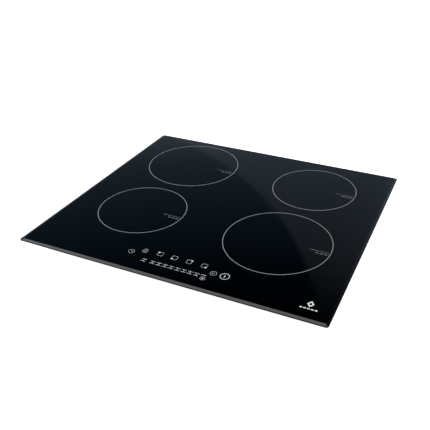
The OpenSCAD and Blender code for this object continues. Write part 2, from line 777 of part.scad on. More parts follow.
// The lid turns on two pins in the box's side walls and drops back to lie level
module terminal_lid() {
    half = lid_w / 2 - 0.4;
    ear = 3;
    ear_r = 2.4;
    color([0.24, 0.24, 0.25]) union() {
        box(term_x - half, term_x + half, half_d - lid_t, half_d, lid_z, lid_z + lid_h);
        for (s = [-1, 1]) translate([term_x + s * (half - ear / 2), 0, 0]) {
            box(-ear / 2, ear / 2, hinge_y, half_d - lid_t / 2, hinge_z - ear_r, hinge_z + ear_r);
            translate([-ear / 2, hinge_y, hinge_z]) rotate([0, 90, 0]) cylinder(r = ear_r, h = ear);
        }
        for (s = [-1, 1]) translate([term_x + s * (half + term_wall / 2 - past / 2), hinge_y, hinge_z])
            rotate([0, 90, 0]) cylinder(r = hinge_r, h = term_wall + past, center = true);
        // thumb ridge
        box(term_x - 12, term_x + 12, half_d - past, half_d + 1.2, lid_z + lid_h - 4, lid_z + lid_h - 2.5);
    }
}

module cable_grommet() {
    color([0.09, 0.09, 0.1]) translate([cable_x, half_d, cable_z]) rotate([90, 0, 0]) union() {
        translate([0, 0, -1.5]) ring(grommet_r + 2, cable_r, 1.5);
        ring(grommet_r, cable_r, sheet_t);
        translate([0, 0, sheet_t]) ring(grommet_r + 2, cable_r, 2);
    }
}

// ---------- worktop clamps ----------

// Each clamp turns on a screw in its pocket: side, pocket's front end, end where the screw is
CLAMPS = [[-1, pocket_rear, 0], [1, pocket_rear, 0], [-1, pocket_front, 1], [1, pocket_front, 1]];
function clamp_x(i) = CLAMPS[i][0] * (half_w - clamp_pivot_in);
function clamp_y(i) = CLAMPS[i][1] + (CLAMPS[i][2] == 0 ? clamp_pivot_end : pocket_len - clamp_pivot_end);

module at_clamps() {
    for (i = [0:3]) translate([clamp_x(i), clamp_y(i), 0]) children();
}

module clamp(i) {
    turn = CLAMPS[i][2] == 0 ? 90 : -90;
    tooth_h = 4;
    hub_z = screw_head_z + screw_head_h + 0.1;
    color([0.72, 0.73, 0.74]) translate([clamp_x(i), clamp_y(i), 0]) rotate(turn) difference() {
        union() {
            translate([0, 0, hub_z]) cylinder(r = clamp_hub_r, h = pocket_h - 0.1 - hub_z);
            box(0, clamp_len, -clamp_arm_w / 2, clamp_arm_w / 2, clamp_arm_z, clamp_arm_z + clamp_arm_t);
            box(clamp_len - clamp_arm_t, clamp_len, -clamp_arm_w / 2, clamp_arm_w / 2, clamp_arm_z,
                clamp_arm_z + clamp_arm_t + tooth_h);
        }
        translate([0, 0, -past]) cylinder(r = clamp_screw_r + run_gap, h = pocket_h + 2 * past);
    }
}

module clamp_screws() {
    color([0.7, 0.7, 0.72]) at_clamps() union() {
        translate([0, 0, screw_head_z]) cylinder(r = 4, h = screw_head_h);
        translate([0, 0, screw_head_z]) cylinder(r = clamp_screw_r, h = pocket_h + sheet_t - screw_head_z + 4);
        // square nut on the pocket's roof
        translate([0, 0, pocket_h + sheet_t]) box(-4, 4, -4, 4, 0, 3);
    }
}

// ---------- nodes ----------

glass_top();
zone_print();
control_print();
rim_seal();
glass_frame();
case_pan();
case_screws();
coil_tray();
tray_posts();
tray_screws();
insulation(0);  // insulation_rear_left
insulation(1);  // insulation_rear_right
insulation(2);  // insulation_front_left
insulation(3);  // insulation_front_right
coil(0);  // coil_rear_left
coil(1);  // coil_rear_right
coil(2);  // coil_front_left
coil(3);  // coil_front_right
carrier(0);  // carrier_rear_left
carrier(1);  // carrier_rear_right
carrier(2);  // carrier_front_left
carrier(3);  // carrier_front_right
ferrites(0);  // ferrites_rear_left
ferrites(1);  // ferrites_rear_right
ferrites(2);  // ferrites_front_left
ferrites(3);  // ferrites_front_right
sensor(0);  // sensor_rear_left
sensor(1);  // sensor_rear_right
sensor(2);  // sensor_front_left
sensor(3);  // sensor_front_right
springs(0);  // springs_rear_left
springs(1);  // springs_rear_right
springs(2);  // springs_front_left
springs(3);  // springs_front_right
electronics_tray(-1);  // electronics_tray_left
electronics_tray(1);  // electronics_tray_right
power_board(-1);  // power_board_left
power_board(1);  // power_board_right
heat_sink(-1);  // heat_sink_left
heat_sink(1);  // heat_sink_right
power_transistors();
capacitors();
fan_rotor(-1);  // fan_rotor_left
fan_rotor(1);  // fan_rotor_right
filter_board();
filter_parts();
control_box();
touch_board();
touch_springs();
ribbon_cable();
terminal_box();
terminal_block();
terminal_lid();
cable_grommet();
clamp(0);  // clamp_rear_left
clamp(1);  // clamp_rear_right
clamp(2);  // clamp_front_left
clamp(3);  // clamp_front_right
clamp_screws();
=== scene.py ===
# %% [markdown]
# A built-in induction cooktop: a black glass plate with printed rings, and under it a thin
# steel case with coils, fans and electronics. The moving parts and sizes are already settled
# in the CAD frame. This lesson loads that frame, gives every part its real finish, and
# models again the parts whose real shape is finer than the frame's.

import json
import math

import bmesh
import bpy
from mathutils import Matrix, Vector

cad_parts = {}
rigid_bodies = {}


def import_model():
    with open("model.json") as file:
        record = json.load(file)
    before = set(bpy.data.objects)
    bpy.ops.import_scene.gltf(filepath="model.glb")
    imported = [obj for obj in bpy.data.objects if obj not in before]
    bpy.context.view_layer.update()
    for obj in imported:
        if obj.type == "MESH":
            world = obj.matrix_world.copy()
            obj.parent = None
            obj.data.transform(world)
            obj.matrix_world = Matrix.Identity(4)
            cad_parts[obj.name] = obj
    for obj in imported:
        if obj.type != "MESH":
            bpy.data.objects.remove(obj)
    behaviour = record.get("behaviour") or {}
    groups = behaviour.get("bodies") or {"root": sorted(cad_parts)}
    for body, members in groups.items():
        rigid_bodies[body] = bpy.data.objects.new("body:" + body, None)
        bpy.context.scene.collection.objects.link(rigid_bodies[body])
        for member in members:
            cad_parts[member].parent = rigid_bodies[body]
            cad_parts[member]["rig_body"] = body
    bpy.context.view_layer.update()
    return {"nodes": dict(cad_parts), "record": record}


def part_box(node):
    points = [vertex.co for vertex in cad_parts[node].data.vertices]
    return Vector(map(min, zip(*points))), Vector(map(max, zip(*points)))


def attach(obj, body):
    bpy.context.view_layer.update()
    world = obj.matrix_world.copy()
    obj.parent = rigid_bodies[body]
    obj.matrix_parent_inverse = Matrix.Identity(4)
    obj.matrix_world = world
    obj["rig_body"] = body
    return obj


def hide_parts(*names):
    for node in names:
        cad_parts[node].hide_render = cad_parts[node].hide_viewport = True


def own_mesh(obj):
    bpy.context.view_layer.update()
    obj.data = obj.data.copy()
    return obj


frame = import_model()

# %% [markdown]
# Sizes on the drawing are in millimetres, and Blender works in metres. Where a size belongs
# to a part of the frame, it is read from that part's box, so the two can't disagree.

# %% Sizes read from the frame
MM = 0.001
glass_low, glass_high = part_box("glass_top")
case_low, case_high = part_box("case_pan")
print("glass plate:", [round((b - a) / MM, 1) for a, b in zip(glass_low, glass_high)], "mm")

# %% [markdown]
# The camera stands to the right of the cook and looks down on the plate at about 31 degrees,
# with a slightly long lens, as for a catalogue picture. The shift only frames the plate.

# %% Camera
CAMERA_AZIMUTH = math.radians(23.725)
CAMERA_ELEVATION = math.radians(31.367)
CAMERA_DISTANCE = 1147.31 * MM
AIM = Vector((51.95 * MM, -16.71 * MM, glass_high.z))
LENS_LENGTH, SENSOR_WIDTH, FRAMING_SHIFT = 49.04, 36, -0.0697
away = Vector((math.sin(CAMERA_AZIMUTH) * math.cos(CAMERA_ELEVATION),
               -math.cos(CAMERA_AZIMUTH) * math.cos(CAMERA_ELEVATION),
               math.sin(CAMERA_ELEVATION)))
bpy.ops.object.camera_add(location=AIM + away * CAMERA_DISTANCE)
camera = bpy.context.object
camera.rotation_mode = "QUATERNION"
camera.rotation_quaternion = (-away).to_track_quat("-Z", "Y")
camera.data.lens = LENS_LENGTH
camera.data.sensor_width = SENSOR_WIDTH
camera.data.shift_x = FRAMING_SHIFT
bpy.context.scene.camera = camera
bpy.context.scene.view_settings.view_transform = "Standard"
print("camera at", [round(v, 3) for v in camera.location])

# %% [markdown]
# A material is a small tree of nodes. One function adds a node, sets what it needs and links
# it, and another turns a colour picked on a screen into the linear numbers of a renderer. A
# Mix node has its two vectors in sockets 4 and 5 and its two colours in sockets 6 and 7.


# %% Helpers for node trees
def add(tree, kind, inputs=None, **settings):
    """Adds a node. Inputs are numbers, colours or another node's output, by socket."""
    node = tree.nodes.new(kind)
    for name, value in settings.items():
        setattr(node, name, value)
    for socket, value in (inputs or {}).items():
        if isinstance(value, bpy.types.NodeSocket):
            tree.links.new(value, node.inputs[socket])
        else:
            node.inputs[socket].default_value = value
    return node


def linear(hex_colour):
    """The linear colour of an sRGB hex value."""
    parts = [int(hex_colour[i:i + 2], 16) / 255 for i in (1, 3, 5)]
    return [c / 12.92 if c <= 0.04045 else ((c + 0.055) / 1.055) ** 2.4 for c in parts] + [1]


def start_material(name, colour, roughness, metallic=0.0, **shader_values):
    """A new material: returns it, its tree, its shader and the place on the object."""
    material = bpy.data.materials.new(name)
    material.use_nodes = True
    tree = material.node_tree
    shader = tree.nodes["Principled BSDF"]
    shader.inputs["Base Color"].default_value = linear(colour)
    shader.inputs["Roughness"].default_value = roughness
    shader.inputs["Metallic"].default_value = metallic
    for socket, value in shader_values.items():
        shader.inputs[socket].default_value = value
    place = add(tree, "ShaderNodeTexCoord").outputs["Object"]
    print("finish:", name)
    return material, tree, shader, place


# %% [markdown]
# The studio. Black glass is a mirror, so what it reflects is most of what is seen: a dark,
# cold room overhead that gets brighter towards the horizon, and on the right a large, weak,
# slightly cold light with a round edge, which crosses the plate from the rear left to the front
# right. A strong soft light straight above and a pale wall on the right show mostly in the
# ground bevel. They are painted on the world in ceiling coordinates, a direction's sideways
# parts divided by its upward part, in which things above a flat mirror keep their shape.
# Reflections see this room, with a dim floor below its horizon. Everything else is lit by,
# and stands before, a plain pale one.

# %% Ceiling coordinates
world = bpy.data.worlds.new("studio")
bpy.context.scene.world = world
world.use_nodes = True
sky = world.node_tree
sky.nodes.clear()
direction = add(sky, "ShaderNodeSeparateXYZ",
                {0: add(sky, "ShaderNodeTexCoord").outputs["Generated"]}).outputs
LOWEST_RISE = 0.02
rise = add(sky, "ShaderNodeMath", {0: direction["Z"], 1: LOWEST_RISE}, operation="MAXIMUM").outputs[0]
across = add(sky, "ShaderNodeMath", {0: direction["X"], 1: rise}, operation="DIVIDE").outputs[0]
along = add(sky, "ShaderNodeMath", {0: direction["Y"], 1: rise}, operation="DIVIDE").outputs[0]
ceiling = add(sky, "ShaderNodeCombineXYZ", {"X": across, "Y": along}).outputs[0]
reach = add(sky, "ShaderNodeVectorMath", {0: ceiling}, operation="LENGTH").outputs["Value"]


def ramp(value, start, end, low, high, smooth=False):
    """A value that goes from low at start to high at end, and stays level outside them."""
    kind = "SMOOTHSTEP" if smooth else "LINEAR"
    return add(sky, "ShaderNodeMapRange", {"Value": value, "From Min": start, "From Max": end,
               "To Min": low, "To Max": high}, interpolation_type=kind).outputs[0]


def join(operation, *values):
    """All values added or multiplied in turn."""
    total = values[0]
    for value in values[1:]:
        total = add(sky, "ShaderNodeMath", {0: total, 1: value}, operation=operation).outputs[0]
    return total


def blend_colour(factor, first, second):
    """The first colour where the factor is 0, and the second where it is 1."""
    return add(sky, "ShaderNodeMix", {"Factor": factor, 6: first, 7: second},
               data_type="RGBA").outputs[2]


# %% What mirrors see
# The room is dark overhead, and its light climbs in three steps as the reach grows.
room = join("ADD", ramp(reach, 1.25, 2.06, 0, 0.205), ramp(reach, 2.06, 2.4, 0, 0.26),
            ramp(reach, 2.4, 8, 0, 0.7))
cold = blend_colour(ramp(reach, 1.4, 2.3, 0, 1), linear("#98CFFF"), linear("#B9D0E9"))
room_light = blend_colour(ramp(reach, 2.4, 5, 0, 1), cold, linear("#E4E6E8"))
room_part = add(sky, "ShaderNodeVectorMath", {0: room_light, "Scale": room},
                operation="SCALE").outputs[0]

ROUND_CENTRE, ROUND_RADIUS, ROUND_BLUR = (-1.657, 0.534, 0), 1.492, 0.012
from_round = add(sky, "ShaderNodeVectorMath", {0: ceiling, 1: ROUND_CENTRE},
                 operation="DISTANCE").outputs["Value"]
weak_light = join("MULTIPLY", ramp(from_round, ROUND_RADIUS - ROUND_BLUR, ROUND_RADIUS + ROUND_BLUR,
                                   0, 0.101, smooth=True), ramp(along, 1.094, 1.397, 0, 1))
right_wall = join("MULTIPLY", ramp(across, -0.35, 0.3, 0, 1), ramp(along, 1.1, 1.9, 0.03, 0.28))
overhead = join("MULTIPLY", ramp(along, 0.7, 0.35, 0, 2.1, smooth=True),
                ramp(reach, 1.5, 1.15, 0, 1, smooth=True))
right_part = add(sky, "ShaderNodeVectorMath", {0: linear("#E6F0FF")[:3],
                 "Scale": join("ADD", weak_light, right_wall)}, operation="SCALE").outputs[0]
tinted = add(sky, "ShaderNodeVectorMath", {0: room_part, 1: right_part}, operation="ADD").outputs[0]
above = add(sky, "ShaderNodeVectorMath", {0: tinted, 1: overhead}, operation="ADD").outputs[0]
below = join("ADD", ramp(direction["Y"], 0.5, 1.0, 0.06, 0.13), ramp(direction["X"], -0.2, 0.3, 0, 0.7))
mirrored = blend_colour(ramp(direction["Z"], -0.01, 0.01, 0, 1), below, above)

# %% What else is seen
DAYLIGHT, BACKDROP = (0.95, 0.95, 0.95, 1), (1.1, 1.1, 1.1, 1)
ray = add(sky, "ShaderNodeLightPath").outputs
plain = blend_colour(ray["Is Camera Ray"], DAYLIGHT, BACKDROP)
seen = blend_colour(ray["Is Glossy Ray"], plain, mirrored)
background = add(sky, "ShaderNodeBackground", {"Color": seen, "Strength": 1.0})
add(sky, "ShaderNodeOutputWorld", {"Surface": background.outputs[0]})
print("world nodes:", len(sky.nodes))

# %% [markdown]
# The floor is a plain pale table under the case. It glows faintly, so that it stays as pale
# as the background with only a soft contact shadow, and mirrors don't see it.

# %% Floor and light
FLOOR_SIZE, FLOOR_DROP, FLOOR_GLOW = 12, 0.2 * MM, 0.8
bpy.ops.object.select_all(action="DESELECT")
bpy.ops.mesh.primitive_grid_add(x_subdivisions=8, y_subdivisions=8, size=FLOOR_SIZE,
                                location=(0, 0, case_low.z - FLOOR_DROP))
floor = bpy.context.object
floor.name = "floor"
floor_finish, _, floor_shader, _ = start_material("pale_table", "#F4F4F2", 0.9)
floor_shader.inputs["Emission Color"].default_value = (1, 1, 1, 1)
floor_shader.inputs["Emission Strength"].default_value = FLOOR_GLOW
floor.data.materials.append(floor_finish)
floor.visible_glossy = False

LAMP_PLACE, LAMP_SIZE, LAMP_WATTS = Vector((-0.6, -0.5, 1.9)), 1.6, 18
bpy.ops.object.light_add(type="AREA", location=LAMP_PLACE)
lamp = bpy.context.object
lamp.data.size = LAMP_SIZE
lamp.data.energy = LAMP_WATTS
lamp.rotation_euler = (-LAMP_PLACE).to_track_quat("-Z", "Y").to_euler()
lamp.visible_glossy = False
print("floor at", round(floor.location.z / MM, 2), "mm")

# %% [markdown]
# Glass-ceramic. The plate is black all through, with a faint cold blue in it, and polished
# until it mirrors the room. Wiping leaves very fine, very shallow streaks that soften the
# mirror a little here and there. The base is nearly black and the rest is the reflection.

# %% Glass-ceramic
glass_finish, tree, shader, place = start_material(
    "polished_black_glass_ceramic", "#000102", 0.03, IOR=1.52)
streak = add(tree, "ShaderNodeMapping", {"Vector": place, "Scale": (1, 4, 1)}).outputs[0]
STREAK = 90 * MM
wiping = add(tree, "ShaderNodeTexNoise", {"Vector": streak, "Scale": 1 / STREAK, "Detail": 4}).outputs[0]
roughness = add(tree, "ShaderNodeMapRange", {"Value": wiping, "From Min": 0.35, "From Max": 0.75,
                "To Min": 0.015, "To Max": 0.05}).outputs[0]
tree.links.new(roughness, shader.inputs["Roughness"])

# %% [markdown]
# Fired enamel print. Ground glass and pigment are screen-printed and melted on: flat, satin,
# with a fine grain of pigment that is drawn here at half a millimetre. The zone rings are
# printed in a mid grey that doesn't glare while cooking, and the keys in a paler one.

# %% Enamel print
ENAMELS = {"grey_enamel_print": ("#787B7E", "#8A8D90"), "pale_enamel_print": ("#C0C2C3", "#D1D3D4")}
GRAIN = 0.5 * MM
enamel_finishes = []
for name, (colour, second) in ENAMELS.items():
    finish, tree, shader, place = start_material(name, colour, 0.42, IOR=1.5)
    grain = add(tree, "ShaderNodeTexNoise", {"Vector": place, "Scale": 1 / GRAIN, "Detail": 2}).outputs[0]
    shade = add(tree, "ShaderNodeMix", {"Factor": grain, 6: linear(colour), 7: linear(second)},
                data_type="RGBA").outputs[2]
    bump = add(tree, "ShaderNodeBump", {"Height": grain, "Strength": 0.2, "Distance": 0.02 * MM}).outputs[0]
    tree.links.new(shade, shader.inputs["Base Color"])
    tree.links.new(bump, shader.inputs["Normal"])
    enamel_finishes.append(finish)
grey_enamel_finish, enamel_finish = enamel_finishes

# %% [markdown]
# Closed-cell foam tape, stuck under the rim of the plate. It is black, quite dull, and its
# cut skin shows cells of about a millimetre, which a cell pattern pushes in as small dents.

# %% Foam tape
foam_finish, tree, shader, place = start_material("closed_cell_foam_tape", "#1B1B1C", 0.9, IOR=1.45)
CELL = 1.0 * MM
cells = add(tree, "ShaderNodeTexVoronoi", {"Vector": place, "Scale": 1 / CELL}).outputs["Distance"]
shade = add(tree, "ShaderNodeMix", {"Factor": cells, 6: linear("#242426"), 7: linear("#121213")},
            data_type="RGBA").outputs[2]
dents = add(tree, "ShaderNodeBump", {"Height": cells, "Strength": 0.5, "Distance": 0.1 * MM}).outputs[0]
tree.links.new(shade, shader.inputs["Base Color"])
tree.links.new(dents, shader.inputs["Normal"])

# %% [markdown]
# Galvanised steel. The case is pressed from hot-dip zinc-coated sheet. The zinc freezes in
# flat crystals of 6 to 12 mm, each with its own tilt, so neighbouring patches are lighter or
# darker and sharper or duller: that is the spangle. Rolling leaves fine scratches along X.

# %% Galvanised steel
steel_finish, tree, shader, place = start_material("galvanised_sheet_steel", "#BFC3C6", 0.4, 1.0)
SPANGLE, SCRATCH, WOBBLE, WOBBLE_SHARE = 9 * MM, 0.6 * MM, 4 * MM, 0.004
wobble = add(tree, "ShaderNodeTexNoise", {"Vector": place, "Scale": 1 / WOBBLE,
             "Detail": 2}).outputs["Color"]
bent = add(tree, "ShaderNodeMix", {"Factor": WOBBLE_SHARE, 4: place, 5: wobble},
           data_type="VECTOR").outputs[1]
crystal = add(tree, "ShaderNodeTexVoronoi", {"Vector": bent, "Scale": 1 / SPANGLE}).outputs["Color"]
tilt = add(tree, "ShaderNodeSeparateColor", {0: crystal}).outputs
shade = add(tree, "ShaderNodeMix", {"Factor": tilt[0], 6: linear("#B3B8BC"), 7: linear("#CDD0D2")},
            data_type="RGBA").outputs[2]
dull = add(tree, "ShaderNodeMapRange", {"Value": tilt[1], "To Min": 0.3, "To Max": 0.48}).outputs[0]
rolled = add(tree, "ShaderNodeMapping", {"Vector": place, "Scale": (0.04, 1, 1)}).outputs[0]
scratches = add(tree, "ShaderNodeTexNoise", {"Vector": rolled, "Scale": 1 / SCRATCH,
                "Detail": 3}).outputs[0]
bump = add(tree, "ShaderNodeBump", {"Height": scratches, "Strength": 0.15,
           "Distance": 0.02 * MM}).outputs[0]
tree.links.new(shade, shader.inputs["Base Color"])
tree.links.new(dull, shader.inputs["Roughness"])
tree.links.new(bump, shader.inputs["Normal"])

# %% [markdown]
# Zinc-plated screws are thinly plated and passivated, which leaves a cold, slightly blue
# and slightly uneven bright grey. The blotches are about 3 mm across.

# %% Zinc plating
zinc_finish, tree, shader, place = start_material("zinc_plated_screw", "#C6CBD2", 0.28, 1.0)
BLOTCH = 3 * MM
blotches = add(tree, "ShaderNodeTexNoise", {"Vector": place, "Scale": 1 / BLOTCH, "Detail": 3}).outputs[0]
shade = add(tree, "ShaderNodeMix", {"Factor": blotches, 6: linear("#B9C0CA"), 7: linear("#D5D6D2")},
            data_type="RGBA").outputs[2]
dull = add(tree, "ShaderNodeMapRange", {"Value": blotches, "To Min": 0.2, "To Max": 0.38}).outputs[0]
tree.links.new(shade, shader.inputs["Base Color"])
tree.links.new(dull, shader.inputs["Roughness"])

# %% [markdown]
# Aluminium comes in two finishes here. The coil tray is mill-finish sheet, with rolling
# lines along X. The heat sinks are extruded, with die lines along their fins, along Y. Both
# are one pattern, a noise stretched along the way the metal was worked.

# %% Aluminium
ALUMINIUM = {"aluminium_sheet": ("mill_finish_aluminium", "#D2D4D6", 0.34, (0.02, 1, 1)),
             "aluminium_fins": ("extruded_aluminium", "#C9CBCD", 0.42, (1, 0.02, 1))}
LINE = 0.5 * MM
aluminium_finishes = {}
for slot, (name, colour, roughness, stretch) in ALUMINIUM.items():
    finish, tree, shader, place = start_material(name, colour, roughness, 1.0)
    worked = add(tree, "ShaderNodeMapping", {"Vector": place, "Scale": stretch}).outputs[0]
    lines = add(tree, "ShaderNodeTexNoise", {"Vector": worked, "Scale": 1 / LINE, "Detail": 4}).outputs[0]
    dull = add(tree, "ShaderNodeMapRange", {"Value": lines, "To Min": roughness - 0.1,
               "To Max": roughness + 0.12}).outputs[0]
    bump = add(tree, "ShaderNodeBump", {"Height": lines, "Strength": 0.25,
               "Distance": 0.03 * MM}).outputs[0]
    tree.links.new(dull, shader.inputs["Roughness"])
    tree.links.new(bump, shader.inputs["Normal"])
    aluminium_finishes[slot] = finish

# %% [markdown]
# Moulded plastics. All are injection moulded and differ in colour, shine and the grain of
# the tool: black glass-filled nylon shows faint swirls of fibre, the others are plainer. Each
# row gives the colour, a second colour it drifts to, the roughness and the drift's size.

# %% Moulded plastics
PLASTICS = {
    "moulded_black": ("glass_filled_nylon", "#1A1B1D", "#26272A", 0.52, 14),
    "transistor_epoxy": ("moulded_epoxy", "#121213", "#1B1B1D", 0.45, 6),
    "capacitor_film": ("film_capacitor_case", "#C9B784", "#D6C696", 0.4, 9),
    "filter_blue": ("blue_epoxy_coating", "#27497F", "#2F5590", 0.35, 7),
    "block_cream": ("cream_polyamide", "#DFD7BE", "#E9E2CD", 0.48, 10),
}
TOOL_GRAIN = 0.4 * MM
plastic_finishes = {}
for slot, (name, colour, second, roughness, drift) in PLASTICS.items():
    finish, tree, shader, place = start_material(name, colour, roughness, IOR=1.53)
    flow = add(tree, "ShaderNodeTexNoise", {"Vector": place, "Scale": 1 / (drift * MM), "Detail": 3,
               "Distortion": 1.5}).outputs[0]
    grain = add(tree, "ShaderNodeTexNoise", {"Vector": place, "Scale": 1 / TOOL_GRAIN}).outputs[0]
    shade = add(tree, "ShaderNodeMix", {"Factor": flow, 6: linear(colour), 7: linear(second)},
                data_type="RGBA").outputs[2]
    dull = add(tree, "ShaderNodeMapRange", {"Value": flow, "To Min": roughness - 0.08,
               "To Max": roughness + 0.08}).outputs[0]
    bump = add(tree, "ShaderNodeBump", {"Height": grain, "Strength": 0.3, "Distance": 0.03 * MM}).outputs[0]
    tree.links.new(shade, shader.inputs["Base Color"])
    tree.links.new(dull, shader.inputs["Roughness"])
    tree.links.new(bump, shader.inputs["Normal"])
    plastic_finishes[slot] = finish

# %% [markdown]
# Mica. The disc between coil and glass is pressed from mica flakes and fibre: a dry, warm
# grey-brown with flakes of 2 to 4 mm that catch the light one by one.

# %% Mica disc
mica_finish, tree, shader, place = start_material("pressed_mica", "#B9AC8C", 0.55, IOR=1.58)
FLAKE = 3 * MM
flake = add(tree, "ShaderNodeTexVoronoi", {"Vector": place, "Scale": 1 / FLAKE}).outputs["Color"]
flake_tone = add(tree, "ShaderNodeSeparateColor", {0: flake}).outputs
shade = add(tree, "ShaderNodeMix", {"Factor": flake_tone[0], 6: linear("#A99C7C"), 7: linear("#CBC0A2")},
            data_type="RGBA").outputs[2]
dull = add(tree, "ShaderNodeMapRange", {"Value": flake_tone[1], "To Min": 0.35, "To Max": 0.7}).outputs[0]
tree.links.new(shade, shader.inputs["Base Color"])
tree.links.new(dull, shader.inputs["Roughness"])

# %% [markdown]
# Ferrite and ceramic are both fired powders. Ferrite is charcoal grey and fine-grained, with
# a dull shine where it was ground, and the sensor's ceramic is white with a soft glaze.

# %% Ferrite and ceramic
FIRED = {"ferrite": ("sintered_ferrite", "#2B2C2E", "#3B3C3F", 0.5, 0.8),
         "sensor_ceramic": ("white_ceramic", "#E4E0D6", "#EFECE4", 0.3, 5)}
fired_finishes = {}
for slot, (name, colour, second, roughness, speckle) in FIRED.items():
    finish, tree, shader, place = start_material(name, colour, roughness, IOR=1.6)
    speckles = add(tree, "ShaderNodeTexNoise", {"Vector": place, "Scale": 1 / (speckle * MM),
                   "Detail": 5}).outputs[0]
    shade = add(tree, "ShaderNodeMix", {"Factor": speckles, 6: linear(colour), 7: linear(second)},
                data_type="RGBA").outputs[2]
    bump = add(tree, "ShaderNodeBump", {"Height": speckles, "Strength": 0.2,
               "Distance": 0.03 * MM}).outputs[0]
    tree.links.new(shade, shader.inputs["Base Color"])
    tree.links.new(bump, shader.inputs["Normal"])
    fired_finishes[slot] = finish

# %% [markdown]
# Spring wire is drawn hard and bright, and faint lines from the drawing die run round it.

# %% Spring wire
wire_finish, tree, shader, place = start_material("drawn_spring_wire", "#BDBFC2", 0.24, 1.0)
DIE_LINE = 0.3 * MM
lines = add(tree, "ShaderNodeTexNoise", {"Vector": place, "Scale": 1 / DIE_LINE, "Detail": 2}).outputs[0]
dull = add(tree, "ShaderNodeMapRange", {"Value": lines, "To Min": 0.16, "To Max": 0.34}).outputs[0]
tree.links.new(dull, shader.inputs["Roughness"])

# %% [markdown]
# A circuit board is fibreglass under green solder mask. Copper tracks lie under the mask as
# slightly raised, lighter bands, here 1.6 mm wide in blocks, and the mask itself is glossy.

# %% Solder mask
board_finish, tree, shader, place = start_material("green_solder_mask", "#0F4A2C", 0.28, IOR=1.5)
TRACK, BLOCK = 1.6 * MM, 14 * MM
tracks = add(tree, "ShaderNodeTexBrick", {"Vector": place, "Scale": 1.0, "Color1": (1, 1, 1, 1),
             "Color2": (0.7, 0.7, 0.7, 1), "Mortar": (0, 0, 0, 1), "Mortar Size": 0.25 * MM,
             "Brick Width": BLOCK, "Row Height": TRACK}).outputs["Color"]
shade = add(tree, "ShaderNodeMix", {"Factor": tracks, 6: linear("#0B3A22"), 7: linear("#1B6A3E")},
            data_type="RGBA").outputs[2]
bump = add(tree, "ShaderNodeBump", {"Height": tracks, "Strength": 0.4, "Distance": 0.05 * MM}).outputs[0]
tree.links.new(shade, shader.inputs["Base Color"])
tree.links.new(bump, shader.inputs["Normal"])

# %% [markdown]
# Ribbon cable is a row of thin wires in soft grey vinyl, 1.27 mm apart, so it is ribbed
# across its width, which runs along X here. Its grooves are painted darker and its crowns
# lighter, as painted shade. Rubber is the dullest finish, nearly black.

# %% Ribbon cable and rubber
ribbon_finish, tree, shader, place = start_material("grey_ribbon_cable", "#A9ABAE", 0.5, IOR=1.5)
WIRE_PITCH = 1.27 * MM
ribs_and_groove_shade = add(tree, "ShaderNodeTexWave", {"Vector": place, "Scale": 2 * math.pi / (20 * WIRE_PITCH),
           "Distortion": 0.0}, wave_type="BANDS", bands_direction="X").outputs["Color"]
# Painted shade: the grooves between the wires are darker and the crowns lighter.
shade = add(tree, "ShaderNodeMix", {"Factor": ribs_and_groove_shade, 6: linear("#8E9194"), 7: linear("#B9BBBD")},
            data_type="RGBA").outputs[2]
bump = add(tree, "ShaderNodeBump", {"Height": ribs_and_groove_shade, "Strength": 0.6, "Distance": 0.2 * MM}).outputs[0]
tree.links.new(shade, shader.inputs["Base Color"])
tree.links.new(bump, shader.inputs["Normal"])

rubber_finish, tree, shader, place = start_material("moulded_rubber", "#19191A", 0.75, IOR=1.52)
BLOOM = 5 * MM
bloom = add(tree, "ShaderNodeTexNoise", {"Vector": place, "Scale": 1 / BLOOM, "Detail": 4}).outputs[0]
shade = add(tree, "ShaderNodeMix", {"Factor": bloom, 6: linear("#141415"), 7: linear("#232324")},
            data_type="RGBA").outputs[2]
tree.links.new(shade, shader.inputs["Base Color"])

# %% [markdown]
# Litz wire. Each strand is copper under a clear red-brown enamel: the metal shines through a
# thin hard coat. The rope's ridges are in its shape, and the strands in them, about 0.4 mm
# thick, are drawn as a fine uneven bump with lighter and darker patches.

# %% Litz wire
litz_finish, tree, shader, place = start_material("enamelled_copper_litz", "#A5562F", 0.35, 1.0,
                                                  **{"Coat Weight": 0.5, "Coat Roughness": 0.2})
STRAND, PATCH = 0.4 * MM, 12 * MM
strands = add(tree, "ShaderNodeTexNoise", {"Vector": place, "Scale": 1 / STRAND, "Detail": 2}).outputs[0]
patches = add(tree, "ShaderNodeTexNoise", {"Vector": place, "Scale": 1 / PATCH, "Detail": 3}).outputs[0]
shade = add(tree, "ShaderNodeMix", {"Factor": patches, 6: linear("#8C4424"), 7: linear("#C4703F")},
            data_type="RGBA").outputs[2]
bump = add(tree, "ShaderNodeBump", {"Height": strands, "Strength": 0.5, "Distance": 0.08 * MM}).outputs[0]
tree.links.new(shade, shader.inputs["Base Color"])
tree.links.new(bump, shader.inputs["Normal"])

# %% [markdown]
# The finishes are complete, so each record slot gets its own, and every part of the frame
# takes the finish of its slot. The zone rings are printed in a greyer enamel than the keys.

# %% Give every part its finish
FINISHES = {"glass_black": glass_finish, "print_grey": enamel_finish, "seal_foam": foam_finish,
            "galvanised_steel": steel_finish, "zinc_screws": zinc_finish, "insulating_disc": mica_finish,
            "litz_copper": litz_finish, "spring_steel": wire_finish, "circuit_board": board_finish,
            "ribbon_grey": ribbon_finish, "grommet_rubber": rubber_finish,
            **aluminium_finishes, **plastic_finishes, **fired_finishes}
slot_of = {part["node"]: part["material_slot"] for part in frame["record"]["subparts"]}
for node, slot in slot_of.items():
    mesh = frame["nodes"][node].data
    mesh.materials.clear()
    mesh.materials.append(FINISHES[slot])
frame["nodes"]["zone_print"].data.materials[0] = grey_enamel_finish
print("finishes:", len(FINISHES))

# %% [markdown]
# Modelling works on one selected object at a time, so these helpers select it alone, pick
# faces or edges by a test while in edit mode, apply a modifier, and hand a finished piece to
# its body with its finish. The body is the one that the replaced part of the frame rides on.


# %% Helpers for modelling
WELD = 0.001 * MM
SHARP = math.radians(35)


